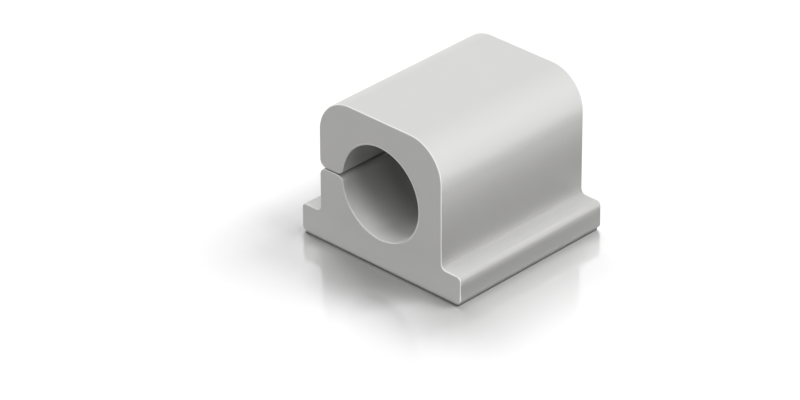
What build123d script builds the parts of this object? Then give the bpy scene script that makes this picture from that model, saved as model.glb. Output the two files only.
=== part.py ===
from build123d import *
import os

# A self-adhesive cable clip: one length of a soft plastic section with a round
# channel for the cable, a lengthwise slit that opens like a jaw, and a wide foot
# that stands on a thin sheet of double-sided adhesive.
# X runs across the clip, Y along the cable, Z up from the surface it sticks to.
# The origin is the middle of the pad's underside. All sizes are in millimetres.

# The cable channel and the walls round it.
bore_diameter = 10.0
side_wall = 3.0
crown_wall = 3.0
bed_thickness = 3.0
clip_length = 20.0

# The foot that spreads out on both sides of the body.
flange_reach = 2.5
flange_thickness = 3.0
flange_top_radius = 0.5
flange_bottom_radius = 0.5
root_fillet = 0.6

# The body's rounded shoulders.
shoulder_radius = 4.0

# The slit through the left wall, at the height of the channel's centre.
slit_gap = 0.15
lip_outer_radius = 0.8
lip_inner_radius = 0.8

# The softened edges where the section was cut to length.
cut_edge_radius = 0.1

# The adhesive pad: laid along the section's underside, then cut to length with it.
pad_thickness = 0.2
pad_side_inset = 0.3
pad_end_inset = 0.05
pad_corner_radius = 0.2

# Sizes that follow from the ones above.
bore_radius = bore_diameter / 2
body_width = bore_diameter + 2 * side_wall
clip_height = bed_thickness + bore_diameter + crown_wall
foot_width = body_width + 2 * flange_reach
underside = pad_thickness
bore_centre = underside + bed_thickness + bore_radius


def corner_at(sketch, x, z):
    """The sketch's vertex nearest to a point of the section."""
    return sketch.vertices().sort_by_distance((x, 0, z))[0]


def clip_section():
    """The clip's cross-section, standing on the pad's upper face."""
    slit_reach = body_width / 2 + flange_reach
    with BuildSketch(Plane.XZ) as section:
        with Locations((0, underside)):
            Rectangle(foot_width, flange_thickness, align=(Align.CENTER, Align.MIN))
            Rectangle(body_width, clip_height, align=(Align.CENTER, Align.MIN))
        with Locations((0, bore_centre)):
            Circle(bore_radius, mode=Mode.SUBTRACT)
            Rectangle(slit_reach, slit_gap, align=(Align.MAX, Align.CENTER), mode=Mode.SUBTRACT)
    face = section.sketch

    top = underside + clip_height
    flange_top = underside + flange_thickness
    lip_reach = (bore_radius**2 - (slit_gap / 2) ** 2) ** 0.5
    lips = [bore_centre - slit_gap / 2, bore_centre + slit_gap / 2]

    roundings = [(side * body_width / 2, top, shoulder_radius) for side in (-1, 1)]
    roundings += [(side * body_width / 2, flange_top, root_fillet) for side in (-1, 1)]
    roundings += [(side * foot_width / 2, flange_top, flange_top_radius) for side in (-1, 1)]
    roundings += [(side * foot_width / 2, underside, flange_bottom_radius) for side in (-1, 1)]
    roundings += [(-body_width / 2, z, lip_outer_radius) for z in lips]
    roundings += [(-lip_reach, z, lip_inner_radius) for z in lips]
    for x, z, radius in roundings:
        face = fillet(corner_at(face, x, z), radius)
    return face


def make_clip_body():
    """The section at full length, with its cut ends softened."""
    body = extrude(clip_section(), amount=clip_length / 2, both=True)
    ends = body.faces().sort_by(Axis.Y)
    cut_edges = ends[0].edges() + ends[-1].edges()
    return fillet(cut_edges, cut_edge_radius)


def make_adhesive_pad():
    """The sheet under the foot, inside its rounded sides and nearly flush at its ends."""
    with BuildPart() as pad:
        with BuildSketch():
            RectangleRounded(
                foot_width - 2 * pad_side_inset,
                clip_length - 2 * pad_end_inset,
                pad_corner_radius,
            )
        extrude(amount=pad_thickness)
    return pad.part


os.makedirs("parts", exist_ok=True)
export_step(make_clip_body(), "parts/clip_body.step")
export_step(make_adhesive_pad(), "parts/adhesive_pad.step")
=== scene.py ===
import math

import bpy
from mathutils import Matrix, Vector


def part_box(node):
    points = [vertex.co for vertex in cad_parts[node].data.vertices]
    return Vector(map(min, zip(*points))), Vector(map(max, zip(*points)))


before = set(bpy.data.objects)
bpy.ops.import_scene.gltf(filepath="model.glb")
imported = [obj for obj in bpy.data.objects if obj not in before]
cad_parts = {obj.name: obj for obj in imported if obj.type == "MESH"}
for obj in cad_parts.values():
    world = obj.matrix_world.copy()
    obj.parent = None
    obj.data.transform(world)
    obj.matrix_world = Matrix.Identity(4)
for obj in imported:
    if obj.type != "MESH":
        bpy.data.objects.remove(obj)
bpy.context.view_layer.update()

# The clip body: one length of satin silver-grey plastic, extruded with its round
# channel, slit and foot in one piece, then cut square to length. Its skin has faint
# lines along it, and its cut ends are matte, with painted highlights on their edges.
clip_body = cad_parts["clip_body"]
clip_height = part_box("clip_body")[1][2]
channel_height = 0.0082
channel_skin_radius = 0.0052
lip_reach = 0.00095
cut_face_facing = 0.98
edge_peak_gain = 4.0


def math_node(tree, operation, first, second=None, clamp=False):
    """One Math node in a tree; each operand is a number or another node's socket."""
    maths = tree.nodes.new("ShaderNodeMath")
    maths.operation = operation
    maths.use_clamp = clamp
    for socket, value in zip(maths.inputs, (first, second)):
        if isinstance(value, (int, float)):
            socket.default_value = value
        elif value is not None:
            tree.links.new(value, socket)
    return maths.outputs[0]


def product(tree, first, *others):
    """Two or more numbers or sockets multiplied together."""
    for other in others:
        first = math_node(tree, "MULTIPLY", first, other)
    return first


def remainder(tree, share):
    """What a share leaves of 1."""
    return math_node(tree, "SUBTRACT", 1.0, share)


def soft_step(tree, amount, start, blur):
    """0 while the amount is below the start, 1 from a blur's width above it."""
    return math_node(tree, "DIVIDE", math_node(tree, "SUBTRACT", amount, start), blur, clamp=True)


def split_xyz(tree, vector):
    """The x, y and z of a vector socket."""
    parts = tree.nodes.new("ShaderNodeSeparateXYZ")
    tree.links.new(vector, parts.inputs["Vector"])
    return tuple(parts.outputs)


def stretched_noise(tree, place, scale, detail):
    """Noise over the object's own place, its scale per metre along x, y and z."""
    stretch = tree.nodes.new("ShaderNodeMapping")
    stretch.inputs["Scale"].default_value = scale
    tree.links.new(place, stretch.inputs["Vector"])
    noise = tree.nodes.new("ShaderNodeTexNoise")
    noise.inputs["Scale"].default_value = 1.0
    noise.inputs["Detail"].default_value = detail
    tree.links.new(stretch.outputs["Vector"], noise.inputs["Vector"])
    return noise.outputs["Fac"]


def bump_over(tree, height, depth, normal=None):
    """A Bump node of a real depth in metres, laid over another normal if one is given."""
    bump = tree.nodes.new("ShaderNodeBump")
    bump.inputs["Distance"].default_value = depth
    tree.links.new(height, bump.inputs["Height"])
    if normal is not None:
        tree.links.new(normal, bump.inputs["Normal"])
    return bump.outputs["Normal"]


def mixed_colour(tree, share, first, second):
    """A colour between two; each is a fixed colour or another node's socket."""
    mix = tree.nodes.new("ShaderNodeMix")
    mix.data_type = "RGBA"
    for name, value in (("Factor_Float", share), ("A_Color", first), ("B_Color", second)):
        socket = next(s for s in mix.inputs if s.identifier == name)
        if isinstance(value, tuple):
            socket.default_value = value
        else:
            tree.links.new(value, socket)
    return next(s for s in mix.outputs if s.identifier == "Result_Color")


clip_plastic = bpy.data.materials.new("clip_plastic")
clip_plastic.use_nodes = True
clip_plastic.cycles.use_bump_map_correction = False
clip_tree = clip_plastic.node_tree
plastic = clip_tree.nodes["Principled BSDF"]
clip_place = clip_tree.nodes.new("ShaderNodeTexCoord").outputs["Object"]
clip_normal = clip_tree.nodes.new("ShaderNodeNewGeometry").outputs["Normal"]
across, along, upward = split_xyz(clip_tree, clip_place)
normal_across, normal_along, normal_up = split_xyz(clip_tree, clip_normal)

# The skin is every extruded face outside the channel, and the ends are the cut faces.
# On the rounded edge between them, facing * (1 - facing) peaks at a quarter.
above_channel = math_node(clip_tree, "SUBTRACT", upward, channel_height)
from_channel = math_node(clip_tree, "SQRT", math_node(
    clip_tree, "ADD",
    product(clip_tree, across, across),
    product(clip_tree, above_channel, above_channel)))
outside_channel = math_node(clip_tree, "GREATER_THAN", from_channel, channel_skin_radius)
in_channel = remainder(clip_tree, outside_channel)
end_facing = math_node(clip_tree, "ABSOLUTE", normal_along)
extruded = remainder(clip_tree, product(clip_tree, end_facing, end_facing))
skin = product(clip_tree, outside_channel, extruded)
cut_face = math_node(clip_tree, "GREATER_THAN", end_facing, cut_face_facing)
cut_edge = math_node(
    clip_tree, "MULTIPLY", product(clip_tree, end_facing, remainder(clip_tree, end_facing)),
    edge_peak_gain, clamp=True)

# The rim of the channel and of the slit's lips is told apart from the outer cut edges.
from_slit = math_node(clip_tree, "ABSOLUTE", above_channel)
slit_side = math_node(clip_tree, "LESS_THAN", across, 0.0)
on_lips = product(clip_tree, math_node(clip_tree, "LESS_THAN", from_slit, lip_reach), slit_side)
inner_rim = product(clip_tree, cut_edge, math_node(clip_tree, "MAXIMUM", in_channel, on_lips))


def by_height(points):
    """A value that follows a table of (height in metres, value) up the clip."""
    low = min(value for height, value in points)
    span = max(value for height, value in points) - low
    table = clip_tree.nodes.new("ShaderNodeFloatCurve")
    curve = table.mapping.curves[0]
    while len(curve.points) < len(points):
        curve.points.new(0.5, 0.5)
    for point, (height, value) in zip(curve.points, points):
        point.location = (height / clip_height, (value - low) / span)
    table.mapping.update()
    clip_tree.links.new(
        math_node(clip_tree, "DIVIDE", upward, clip_height), table.inputs["Value"])
    return math_node(clip_tree, "ADD", product(clip_tree, table.outputs["Value"], span), low)


# The tables of height in this section follow how pale or dark the photograph is at
# each height. They don't say what causes it on the real clip.

# How strongly the outer cut edges show; on the side away from the slit, at least 1.
edge_strength = (
    (0.0, 1.6), (0.0011, 1.6), (0.0022, 0.0), (0.0034, 0.0), (0.0048, 1.0), (0.0162, 1.0),
)
outer_edge = product(clip_tree, math_node(clip_tree, "SUBTRACT", cut_edge, inner_rim), math_node(
    clip_tree, "MAXIMUM", by_height(edge_strength),
    math_node(clip_tree, "GREATER_THAN", across, 0.0)))

# How far the skin's shading leans up, so that the light rolls softly over the shoulders
# and the foot. That of the cut edges leans up too, and the inner rim's leans outward.
skin_lean = (
    (0.0, 0.08), (0.0007, 0.06), (0.0009, 0.0), (0.0013, -0.06), (0.0017, -0.09),
    (0.0021, -0.06), (0.0023, 0.03), (0.0025, 0.21), (0.0027, 0.45), (0.00285, 0.54),
    (0.003, 0.38), (0.0031, 0.185), (0.0034, 0.04), (0.0035, -0.06), (0.0037, 0.05),
    (0.0038, 0.07), (0.0042, -0.03), (0.0048, -0.12), (0.006, -0.13), (0.0072, -0.06),
    (0.0082, 0.03), (0.0092, 0.17), (0.0102, 0.38), (0.0112, 0.72), (0.0118, 1.1),
    (0.0122, 1.2), (0.013, 1.22), (0.0136, 1.16), (0.0142, 1.0), (0.0148, 1.2),
    (0.0157, 1.4), (0.0162, 1.4),
)
cut_edge_lean = 0.5
rim_lean = 1.5
lean_up = math_node(
    clip_tree, "ADD", product(clip_tree, by_height(skin_lean), skin),
    product(clip_tree, outer_edge, cut_edge_lean))
lean_out = product(
    clip_tree, inner_rim, rim_lean, math_node(clip_tree, "SIGN", normal_along))
leaning = clip_tree.nodes.new("ShaderNodeCombineXYZ")
clip_tree.links.new(normal_across, leaning.inputs["X"])
clip_tree.links.new(math_node(clip_tree, "ADD", normal_along, lean_out), leaning.inputs["Y"])
clip_tree.links.new(math_node(clip_tree, "ADD", normal_up, lean_up), leaning.inputs["Z"])
soft_normal = clip_tree.nodes.new("ShaderNodeVectorMath")
soft_normal.operation = "NORMALIZE"
clip_tree.links.new(leaning.outputs["Vector"], soft_normal.inputs[0])

# The surface: faint long lines from the die, fine lines across the cut ends, and grain.
die_line_scale = (2600, 24, 2600)
die_line_depth = 6e-6
cut_line_scale = (420, 1, 9000)
cut_line_depth = 1.5e-6
line_detail = 2.0
grain_scale = (6500, 6500, 6500)
grain_depth = 2.4e-6
grain_detail = 3.0
die_lines = stretched_noise(clip_tree, clip_place, die_line_scale, line_detail)
cut_lines = stretched_noise(clip_tree, clip_place, cut_line_scale, line_detail)
grain = stretched_noise(clip_tree, clip_place, grain_scale, grain_detail)
finish = bump_over(
    clip_tree, product(clip_tree, die_lines, extruded), die_line_depth,
    soft_normal.outputs["Vector"])
finish = bump_over(clip_tree, product(clip_tree, cut_lines, cut_face), cut_line_depth, finish)
finish = bump_over(clip_tree, grain, grain_depth, finish)
clip_tree.links.new(finish, plastic.inputs["Normal"])

# The grey of the plastic, faintly mottled.
clip_grey = (0.567, 0.565, 0.554, 1.0)
clip_grey_mottled = (0.552, 0.550, 0.539, 1.0)
mottle_scale = (320, 320, 320)
mottle = stretched_noise(clip_tree, clip_place, mottle_scale, grain_detail)
plastic_colour = mixed_colour(clip_tree, mottle, clip_grey_mottled, clip_grey)

# Painted light: the shoulders are paler, a painted highlight, and so are the cut ends near the
# foot, painted light that lifts the shade there.
painted_light_grey = (0.646, 0.644, 0.639, 1.0)
shoulder_painted_highlight = (
    (0.0, 0.0), (0.0112, 0.0), (0.0118, 0.4), (0.0122, 0.7), (0.013, 1.0), (0.0142, 1.0),
    (0.0149, 0.9), (0.0155, 0.65), (0.0159, 0.4), (0.0162, 0.0),
)
foot_end_painted_light = (
    (0.0, 0.55), (0.001, 0.5), (0.002, 0.38), (0.003, 0.2), (0.0045, 0.0), (0.0162, 0.0),
)
plastic_colour = mixed_colour(
    clip_tree, product(clip_tree, by_height(shoulder_painted_highlight), skin), plastic_colour, painted_light_grey)
plastic_colour = mixed_colour(
    clip_tree, product(clip_tree, by_height(foot_end_painted_light), cut_face), plastic_colour, painted_light_grey)

# Painted shade: the crease where the body meets the foot is darker, in fine streaks
# that run along the clip and fade a little way out on the foot.
crease_shade_grey = (0.462, 0.461, 0.456, 1.0)
crease_painted_shade = (
    (0.0, 0.0), (0.0031, 0.0), (0.00318, 0.3), (0.0033, 0.8), (0.0035, 1.0), (0.0037, 0.5),
    (0.004, 0.0), (0.0162, 0.0),
)
streak_scale = (4200, 8, 4200)
streak_floor = 0.32
streak_contrast = 2.8
streak_end = 0.0092
streak_fade = 0.0009
streaks = stretched_noise(clip_tree, clip_place, streak_scale, line_detail)
streaks = math_node(
    clip_tree, "MULTIPLY", math_node(clip_tree, "SUBTRACT", streaks, streak_floor),
    streak_contrast, clamp=True)
streak_reach = soft_step(
    clip_tree, streak_end, math_node(clip_tree, "ABSOLUTE", across), streak_fade)
painted_crease_shade = product(clip_tree, by_height(crease_painted_shade), skin, streak_reach, streaks)
plastic_colour = mixed_colour(clip_tree, painted_crease_shade, plastic_colour, crease_shade_grey)

# Painted shade: the middle of the channel is darker, and this fades out toward both ends.
deep_shade_grey = (0.37, 0.369, 0.364, 1.0)
deep_half_length = 0.0062
deep_fade = 0.003
from_middle = math_node(clip_tree, "ABSOLUTE", along)
channel_painted_shade = product(
    clip_tree, soft_step(clip_tree, deep_half_length, from_middle, deep_fade), in_channel)
plastic_colour = mixed_colour(clip_tree, channel_painted_shade, plastic_colour, deep_shade_grey)

# Painted light: the channel's lower left wall is paler from just inside each end to some way in.
# The edge of this pale patch is the cosine of its angle from the patch's middle.
bed_painted_light = (0.8, 0.8, 0.79, 1.0)
bed_share = 0.5
bed_azimuth = math.radians(-143)
bed_edge = 0.74
bed_edge_blur = 0.25
bed_start = 0.0099
bed_start_fade = 0.0015
bed_stop = 0.003
bed_stop_fade = 0.003
toward_bed = math_node(clip_tree, "DIVIDE", math_node(
    clip_tree, "ADD",
    product(clip_tree, across, math.cos(bed_azimuth)),
    product(clip_tree, above_channel, math.sin(bed_azimuth))), from_channel)
painted_bed_light = product(
    clip_tree,
    soft_step(clip_tree, toward_bed, bed_edge, bed_edge_blur),
    soft_step(clip_tree, bed_start, from_middle, bed_start_fade),
    soft_step(clip_tree, from_middle, bed_stop, bed_stop_fade),
    bed_share, in_channel)
plastic_colour = mixed_colour(clip_tree, painted_bed_light, plastic_colour, bed_painted_light)

# Painted shade: the skin beside the slit is darker.
slit_painted_shade = (0.2, 0.2, 0.197, 1.0)
slit_dark_reach = 0.0002
painted_slit_shade = product(
    clip_tree, soft_step(clip_tree, slit_dark_reach, from_slit, slit_dark_reach), slit_side,
    math_node(clip_tree, "SUBTRACT", extruded, cut_edge, clamp=True))
plastic_colour = mixed_colour(clip_tree, painted_slit_shade, plastic_colour, slit_painted_shade)

# Painted highlight: the cut edges are paler, and so is a thin ring on the cut face round
# the channel, which is strongest at the channel's upper right and gone at its lower left.
edge_highlight_grey = (0.72, 0.72, 0.70, 1.0)
rim_thinness = 3.0
ring_radius = 0.00514
ring_half_width = 0.00009
ring_across_gain = 460
ring_upward_gain = 385
ring_at_centre = 0.5
from_ring = math_node(
    clip_tree, "ABSOLUTE", math_node(clip_tree, "SUBTRACT", from_channel, ring_radius))
ring_side = math_node(
    clip_tree, "ADD", product(clip_tree, across, ring_across_gain),
    product(clip_tree, above_channel, ring_upward_gain))
painted_ring_highlight = product(
    clip_tree,
    soft_step(clip_tree, ring_half_width, from_ring, ring_half_width / 2),
    math_node(clip_tree, "ADD", ring_side, ring_at_centre, clamp=True), cut_face)
painted_edge_highlight = math_node(
    clip_tree, "ADD", outer_edge, math_node(clip_tree, "POWER", inner_rim, rim_thinness))
painted_edge_highlight = math_node(clip_tree, "ADD", painted_edge_highlight, painted_ring_highlight)
plastic_colour = mixed_colour(clip_tree, painted_edge_highlight, plastic_colour, edge_highlight_grey)
clip_tree.links.new(plastic_colour, plastic.inputs["Base Color"])

# The skin is satin with its die lines in the gloss, and the channel and ends are duller.
clip_roughness = 0.42
die_line_roughness = 0.08
channel_roughness = 0.6
cut_roughness = 0.68
roughness = math_node(
    clip_tree, "ADD", clip_roughness - die_line_roughness / 2,
    product(clip_tree, die_lines, die_line_roughness))
roughness = math_node(clip_tree, "ADD", roughness, product(
    clip_tree, in_channel, channel_roughness - clip_roughness))
roughness = math_node(clip_tree, "ADD", roughness, product(
    clip_tree, cut_face, cut_roughness - clip_roughness))
clip_tree.links.new(roughness, plastic.inputs["Roughness"])
clip_body.data.materials.clear()
clip_body.data.materials.append(clip_plastic)

# The adhesive pad: a thin sheet of pale grey foam with glue on both faces, laid along
# the section's underside and cut to length with it. The photograph shows only a thin
# dark line there, so the foam is a guess and its lower edge is dark to match the line.
adhesive_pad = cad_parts["adhesive_pad"]
foam_shadowed = (0.36, 0.36, 0.355, 1.0)
foam_pale = (0.50, 0.50, 0.49, 1.0)
foam_specular = 0.2
foam_cell_scale = 7000
foam_cell_depth = 12e-6
foam_smear_scale = (260, 90, 260)
foam_roughness = 0.5
foam_smear_roughness = 0.3
# Painted shadow: the dark lower edge of the pad's sides stands for the contact shadow under the
# clip.
lower_edge_painted_shadow = (0.02, 0.02, 0.02, 1.0)
lower_edge_height = 0.00008
lower_edge_blur = 0.00003
side_face_tilt = 0.5

pad_foam = bpy.data.materials.new("pad_foam")
pad_foam.use_nodes = True
foam_tree = pad_foam.node_tree
foam = foam_tree.nodes["Principled BSDF"]
foam.inputs["Specular IOR Level"].default_value = foam_specular
foam_place = foam_tree.nodes.new("ShaderNodeTexCoord").outputs["Object"]
foam_normal = foam_tree.nodes.new("ShaderNodeNewGeometry").outputs["Normal"]
foam_height = split_xyz(foam_tree, foam_place)[2]
foam_tilt = math_node(foam_tree, "ABSOLUTE", split_xyz(foam_tree, foam_normal)[2])
# Painted shadow: the pad's side faces turn dark toward the table.
painted_contact_shadow = product(
    foam_tree, soft_step(foam_tree, lower_edge_height, foam_height, lower_edge_blur),
    math_node(foam_tree, "LESS_THAN", foam_tilt, side_face_tilt))
cells = foam_tree.nodes.new("ShaderNodeTexVoronoi")
cells.inputs["Scale"].default_value = foam_cell_scale
foam_tree.links.new(foam_place, cells.inputs["Vector"])
smear = stretched_noise(foam_tree, foam_place, foam_smear_scale, line_detail)
foam_colour = mixed_colour(foam_tree, cells.outputs["Distance"], foam_shadowed, foam_pale)
foam_colour = mixed_colour(foam_tree, painted_contact_shadow, foam_colour, lower_edge_painted_shadow)
foam_tree.links.new(foam_colour, foam.inputs["Base Color"])
foam_tree.links.new(
    bump_over(foam_tree, cells.outputs["Distance"], foam_cell_depth), foam.inputs["Normal"])
foam_tree.links.new(
    math_node(
        foam_tree, "ADD", foam_roughness, product(foam_tree, smear, foam_smear_roughness)),
    foam.inputs["Roughness"])
adhesive_pad.data.materials.clear()
adhesive_pad.data.materials.append(pad_foam)

# The studio table: a polished white sheet that the clip stands on. It mirrors the
# clip's foot softly and throws back little light.
floor_reach = 3.0
table_white = (0.9, 0.9, 0.9, 1.0)
table_bounce = (0.12, 0.12, 0.12, 1.0)
table_shine = 0.45
table_shine_fade = 0.007
table_shine_roughness = 0.12
foot_half_width = 0.0105
foot_half_length = 0.01
dull_left = 0.0085
dull_left_blur = 0.002
dull_reach = 0.0035

floor_mesh = bpy.data.meshes.new("floor")
floor_corners = [
    (floor_reach * x, floor_reach * y, 0) for x, y in ((-1, -1), (1, -1), (1, 1), (-1, 1))]
floor_mesh.from_pydata(floor_corners, [], [(0, 1, 2, 3)])
floor = bpy.data.objects.new("floor", floor_mesh)
bpy.context.scene.collection.objects.link(floor)

table_top = bpy.data.materials.new("table_top")
table_top.use_nodes = True
table_tree = table_top.node_tree
table_tree.nodes.remove(table_tree.nodes["Principled BSDF"])
thrown_back = table_tree.nodes.new("ShaderNodeLightPath").outputs["Is Diffuse Ray"]
table_paint = table_tree.nodes.new("ShaderNodeBsdfDiffuse")
table_tree.links.new(
    mixed_colour(table_tree, thrown_back, table_white, table_bounce),
    table_paint.inputs["Color"])
table_gloss = table_tree.nodes.new("ShaderNodeBsdfGlossy")
table_gloss.inputs["Color"].default_value = (1, 1, 1, 1)
table_gloss.inputs["Roughness"].default_value = table_shine_roughness
table_place = table_tree.nodes.new("ShaderNodeTexCoord").outputs["Object"]
table_across, table_along = split_xyz(table_tree, table_place)[:2]


def beyond_foot(place, half):
    """How far a point of the table lies beyond the foot along one axis."""
    return math_node(table_tree, "MAXIMUM", math_node(
        table_tree, "SUBTRACT", math_node(table_tree, "ABSOLUTE", place), half), 0.0)


# The shine fades away from the foot. It is dull along the foot's left side and for a
# little way beyond the side's two ends.
beyond_side = beyond_foot(table_across, foot_half_width)
beyond_end = beyond_foot(table_along, foot_half_length)
from_foot = math_node(table_tree, "SQRT", math_node(
    table_tree, "ADD",
    product(table_tree, beyond_side, beyond_side),
    product(table_tree, beyond_end, beyond_end)))
fading = math_node(
    table_tree, "EXPONENT", math_node(table_tree, "DIVIDE", from_foot, -table_shine_fade))
dull = product(
    table_tree,
    soft_step(table_tree, product(table_tree, table_across, -1.0), dull_left, dull_left_blur),
    soft_step(table_tree, dull_reach, beyond_end, dull_reach))
shine = product(
    table_tree, fading, table_shine, remainder(table_tree, thrown_back),
    remainder(table_tree, dull))
table_finish = table_tree.nodes.new("ShaderNodeMixShader")
table_tree.links.new(shine, table_finish.inputs["Fac"])
table_tree.links.new(table_paint.outputs["BSDF"], table_finish.inputs[1])
table_tree.links.new(table_gloss.outputs["BSDF"], table_finish.inputs[2])
table_tree.links.new(
    table_finish.outputs["Shader"], table_tree.nodes["Material Output"].inputs["Surface"])
floor_mesh.materials.append(table_top)

# The studio round the table: white to the eye and in reflections. It gives no light
# of its own, because all of the light comes from the lamps.
world = bpy.data.worlds.new("studio")
bpy.context.scene.world = world
world.use_nodes = True
studio_tree = world.node_tree
studio_path = studio_tree.nodes.new("ShaderNodeLightPath")
seen = math_node(
    studio_tree, "MAXIMUM", studio_path.outputs["Is Camera Ray"],
    studio_path.outputs["Is Glossy Ray"])
seen = math_node(studio_tree, "MAXIMUM", seen, studio_path.outputs["Is Transmission Ray"])
studio = studio_tree.nodes["Background"]
studio.inputs["Color"].default_value = (1, 1, 1, 1)
studio_tree.links.new(seen, studio.inputs["Strength"])

# The lamps: large soft ones. One set lights the clip and another the table, so that
# the clip is lit from the front while its shadow on the table falls to the front.
clip_set = bpy.data.collections.new("clip_set")
clip_set.objects.link(clip_body)
clip_set.objects.link(adhesive_pad)
table_set = bpy.data.collections.new("table_set")
table_set.objects.link(floor)

# Each lamp's name, its azimuth from +x and its elevation in degrees, and its strength.
clip_lamps = (
    ("clip_key", 352, 40, 0.3),
    ("clip_right", 5, 20, 0.12),
    ("clip_overhead", 0, 85, 0.372),
    ("clip_front_high", 270, 75, 0.26),
    ("clip_front_right", 310, 60, 0.065),
    ("clip_front_low", 260, 8, 0.45),
    ("clip_left", 200, 66, 0.13),
    ("clip_left_low", 180, 8, 0.26),
    ("clip_back_low", 92, 8, 0.26),
)
table_lamps = (
    ("table_back_right", 50, 50, 0.473),
    ("table_right", 20, 50, 0.083),
    ("table_left", 150, 60, 0.259),
    ("table_back", 120, 60, 0.063),
)
table_edge_lamps = (
    ("table_edge_left", 160, 50, 0.173),
    ("table_edge_back_left", 130, 58, 0.173),
    ("table_edge_right", 20, 58, 0.124),
    ("table_edge_back", 60, 66, 0.116),
)
lamp_sets = (
    (clip_lamps, math.radians(34), clip_set),
    (table_lamps, math.radians(30), table_set),
    (table_edge_lamps, math.radians(14), table_set),
)
low_fill_elevation = 8


def soft_lamp(name, azimuth, elevation, strength, spread, lit):
    """A far soft lamp; at strength 1 a surface that faces it shows its own colour."""
    lamp = bpy.data.lights.new(name, "SUN")
    lamp.energy = strength * math.pi
    lamp.angle = spread
    holder = bpy.data.objects.new(name, lamp)
    bpy.context.scene.collection.objects.link(holder)
    turn, tilt = math.radians(azimuth), math.radians(elevation)
    toward = Vector((
        math.cos(tilt) * math.cos(turn), math.cos(tilt) * math.sin(turn), math.sin(tilt)))
    holder.rotation_mode = "QUATERNION"
    holder.rotation_quaternion = toward.to_track_quat("Z", "Y")
    holder.light_linking.receiver_collection = lit
    return holder


# The low fill lamps are kept out of reflections, so that no side glares.
for lamps, spread, lit in lamp_sets:
    for name, azimuth, elevation, strength in lamps:
        holder = soft_lamp(name, azimuth, elevation, strength, spread, lit)
        holder.visible_glossy = elevation > low_fill_elevation

# The camera: its place, its direction and its lens were fitted to the outline of the
# clip in the photograph.
camera_place = Vector((0.25126, -0.26852, 0.21507))
camera_azimuth = math.radians(43.879)
camera_elevation = math.radians(29.922)
camera_roll = math.radians(-0.304)
camera_lens = 196.75
sensor_width = 36.0
nearest_seen = 0.01
farthest_seen = 5

back = Vector((
    math.sin(camera_azimuth) * math.cos(camera_elevation),
    -math.cos(camera_azimuth) * math.cos(camera_elevation),
    math.sin(camera_elevation),
))
right = Vector((math.cos(camera_azimuth), math.sin(camera_azimuth), 0))
up = back.cross(right)
turn = Matrix.Rotation(camera_roll, 3, back)
axes = Matrix((turn @ right, turn @ up, back)).transposed()
camera_data = bpy.data.cameras.new("camera")
camera_data.sensor_width = sensor_width
camera_data.lens = camera_lens
camera_data.clip_start = nearest_seen
camera_data.clip_end = farthest_seen
camera = bpy.data.objects.new("camera", camera_data)
bpy.context.scene.collection.objects.link(camera)
camera.matrix_world = Matrix.Translation(camera_place) @ axes.to_4x4()
bpy.context.scene.camera = camera

# Colours are shown as they are.
bpy.context.scene.view_settings.view_transform = "Standard"
